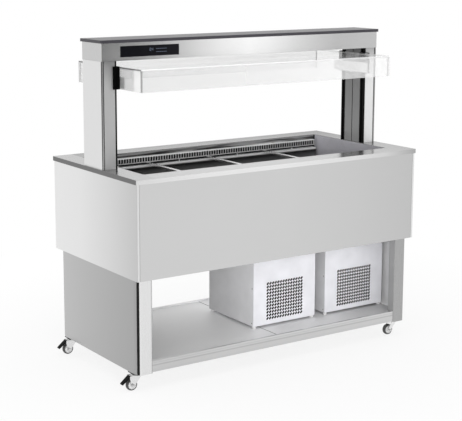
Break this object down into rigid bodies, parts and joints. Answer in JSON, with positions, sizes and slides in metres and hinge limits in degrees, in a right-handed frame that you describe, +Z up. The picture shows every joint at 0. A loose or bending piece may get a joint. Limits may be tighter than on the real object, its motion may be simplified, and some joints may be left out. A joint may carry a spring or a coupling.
{
  "type": "cold buffet counter",
  "caption": "Refrigerated serving counter with a sunken pan well, a canopy on posts, a clear hood sliding on the posts, an open shelf with cooling units, and castors.",
  "frame": {"origin": "floor level under the middle of the whole counter's bounding box", "axes": "+X along the counter to the right as seen from the front, +Y to the back, +Z up"},
  "size_m": [1.532, 0.74, 1.44],
  "materials": {
    "brushed_steel": "fine brushed",
    "polished_steel": "bright polished",
    "post_aluminium": "satin anodised",
    "fin_aluminium": "plain fins",
    "black_plastic": "satin moulded",
    "dark_slab": "smooth anthracite",
    "black_glass": "gloss",
    "opal": "opal",
    "clear_acrylic": "clear polished",
    "white_enamel": "smooth light enamel",
    "black_enamel": "gloss enamel",
    "zinc": "bright zinc",
    "foam": "rigid foam",
    "tyre_grey": "moulded"
  },
  "bodies": {
    "counter": {"worktop": "polished_steel", "well_tank": "polished_steel", "pan_rails": "polished_steel", "air_grille": "polished_steel", "air_deck": "polished_steel", "front_panel": "brushed_steel", "back_panel": "brushed_steel", "left_end_panel": "brushed_steel", "right_end_panel": "brushed_steel", "base_pan": "brushed_steel", "canopy_shell": "brushed_steel", "canopy_underside": "brushed_steel", "left_lower_panel": "brushed_steel", "right_lower_panel": "brushed_steel", "legs": "brushed_steel", "left_shelf_plate": "brushed_steel", "right_shelf_plate": "brushed_steel", "shelf_rails": "brushed_steel", "evaporator_fan_plate": "brushed_steel", "insulation": "foam", "evaporator": "fin_aluminium", "condensers": "fin_aluminium", "hood_tracks": "black_plastic", "leg_strips": "black_plastic", "drain_fitting": "black_plastic", "left_post": "post_aluminium", "right_post": "post_aluminium", "canopy_top": "dark_slab", "lamp_diffuser": "opal", "control_panel": "black_glass", "left_unit_housing": "white_enamel", "right_unit_housing": "white_enamel", "left_unit_grille": "white_enamel", "right_unit_grille": "white_enamel", "compressors": "black_enamel", "condenser_fan_motors": "black_enamel", "castor_plates": "zinc"},
    "hood": {"hood_top_pane": "clear_acrylic", "hood_front_pane": "clear_acrylic", "hood_back_pane": "clear_acrylic", "hood_end_panes": "clear_acrylic", "hood_carriages": "black_plastic", "hood_bridges": "fin_aluminium"},
    "cross_bar_left": {"cross_bar_left": "polished_steel"},
    "cross_bar_middle": {"cross_bar_middle": "polished_steel"},
    "cross_bar_right": {"cross_bar_right": "polished_steel"},
    "evaporator_fan_left": {"evaporator_fan_left": "black_plastic"},
    "evaporator_fan_right": {"evaporator_fan_right": "black_plastic"},
    "condenser_fan_left": {"condenser_fan_left": "black_plastic"},
    "condenser_fan_right": {"condenser_fan_right": "black_plastic"},
    "castor_fork_front_left": {"castor_fork_front_left": "zinc"},
    "castor_wheel_front_left": {"castor_wheel_front_left": "tyre_grey"},
    "brake_pedal_front_left": {"brake_pedal_front_left": "black_plastic"},
    "castor_fork_back_left": {"castor_fork_back_left": "zinc"},
    "castor_wheel_back_left": {"castor_wheel_back_left": "tyre_grey"},
    "brake_pedal_back_left": {"brake_pedal_back_left": "black_plastic"},
    "castor_fork_front_right": {"castor_fork_front_right": "zinc"},
    "castor_wheel_front_right": {"castor_wheel_front_right": "tyre_grey"},
    "castor_fork_back_right": {"castor_fork_back_right": "zinc"},
    "castor_wheel_back_right": {"castor_wheel_back_right": "tyre_grey"}
  },
  "joints": [
    {"name": "hood_slide", "type": "slide", "parent": "counter", "child": "hood", "axis": [0, 0, -1], "range_m": [0, 0.33]},
    {"name": "cross_bar_left_lift", "type": "slide", "parent": "counter", "child": "cross_bar_left", "axis": [0, 0, 1], "range_m": [0, 0.1]},
    {"name": "cross_bar_middle_lift", "type": "slide", "parent": "counter", "child": "cross_bar_middle", "axis": [0, 0, 1], "range_m": [0, 0.1]},
    {"name": "cross_bar_right_lift", "type": "slide", "parent": "counter", "child": "cross_bar_right", "axis": [0, 0, 1], "range_m": [0, 0.1]},
    {"name": "evaporator_fan_left_spin", "type": "hinge", "parent": "counter", "child": "evaporator_fan_left", "pos_m": [-0.244, -0.008, 0.7265], "axis": [0, 1, 0], "continuous": true},
    {"name": "evaporator_fan_right_spin", "type": "hinge", "parent": "counter", "child": "evaporator_fan_right", "pos_m": [0.276, -0.008, 0.7265], "axis": [0, 1, 0], "continuous": true},
    {"name": "condenser_fan_left_spin", "type": "hinge", "parent": "counter", "child": "condenser_fan_left", "pos_m": [0.149, -0.11, 0.23], "axis": [0, 1, 0], "continuous": true},
    {"name": "condenser_fan_right_spin", "type": "hinge", "parent": "counter", "child": "condenser_fan_right", "pos_m": [0.559, -0.11, 0.23], "axis": [0, 1, 0], "continuous": true},
    {"name": "castor_swivel_front_left", "type": "hinge", "parent": "counter", "child": "castor_fork_front_left", "pos_m": [-0.689, -0.288, 0.068], "axis": [0, 0, 1], "continuous": true},
    {"name": "castor_wheel_front_left_spin", "type": "hinge", "parent": "castor_fork_front_left", "child": "castor_wheel_front_left", "pos_m": [-0.719, -0.288, 0.025], "axis": [0, 1, 0], "continuous": true},
    {"name": "brake_pedal_front_left_press", "type": "hinge", "parent": "castor_fork_front_left", "child": "brake_pedal_front_left", "pos_m": [-0.727, -0.288, 0.06], "axis": [0, -1, 0], "range_deg": [0, 12]},
    {"name": "castor_swivel_back_left", "type": "hinge", "parent": "counter", "child": "castor_fork_back_left", "pos_m": [-0.689, 0.288, 0.068], "axis": [0, 0, 1], "continuous": true},
    {"name": "castor_wheel_back_left_spin", "type": "hinge", "parent": "castor_fork_back_left", "child": "castor_wheel_back_left", "pos_m": [-0.719, 0.288, 0.025], "axis": [0, 1, 0], "continuous": true},
    {"name": "brake_pedal_back_left_press", "type": "hinge", "parent": "castor_fork_back_left", "child": "brake_pedal_back_left", "pos_m": [-0.727, 0.288, 0.06], "axis": [0, -1, 0], "range_deg": [0, 12]},
    {"name": "castor_swivel_front_right", "type": "hinge", "parent": "counter", "child": "castor_fork_front_right", "pos_m": [0.721, -0.288, 0.068], "axis": [0, 0, 1], "continuous": true},
    {"name": "castor_wheel_front_right_spin", "type": "hinge", "parent": "castor_fork_front_right", "child": "castor_wheel_front_right", "pos_m": [0.691, -0.288, 0.025], "axis": [0, 1, 0], "continuous": true},
    {"name": "castor_swivel_back_right", "type": "hinge", "parent": "counter", "child": "castor_fork_back_right", "pos_m": [0.721, 0.288, 0.068], "axis": [0, 0, 1], "continuous": true},
    {"name": "castor_wheel_back_right_spin", "type": "hinge", "parent": "castor_fork_back_right", "child": "castor_wheel_back_right", "pos_m": [0.691, 0.288, 0.025], "axis": [0, 1, 0], "continuous": true}
  ]
}
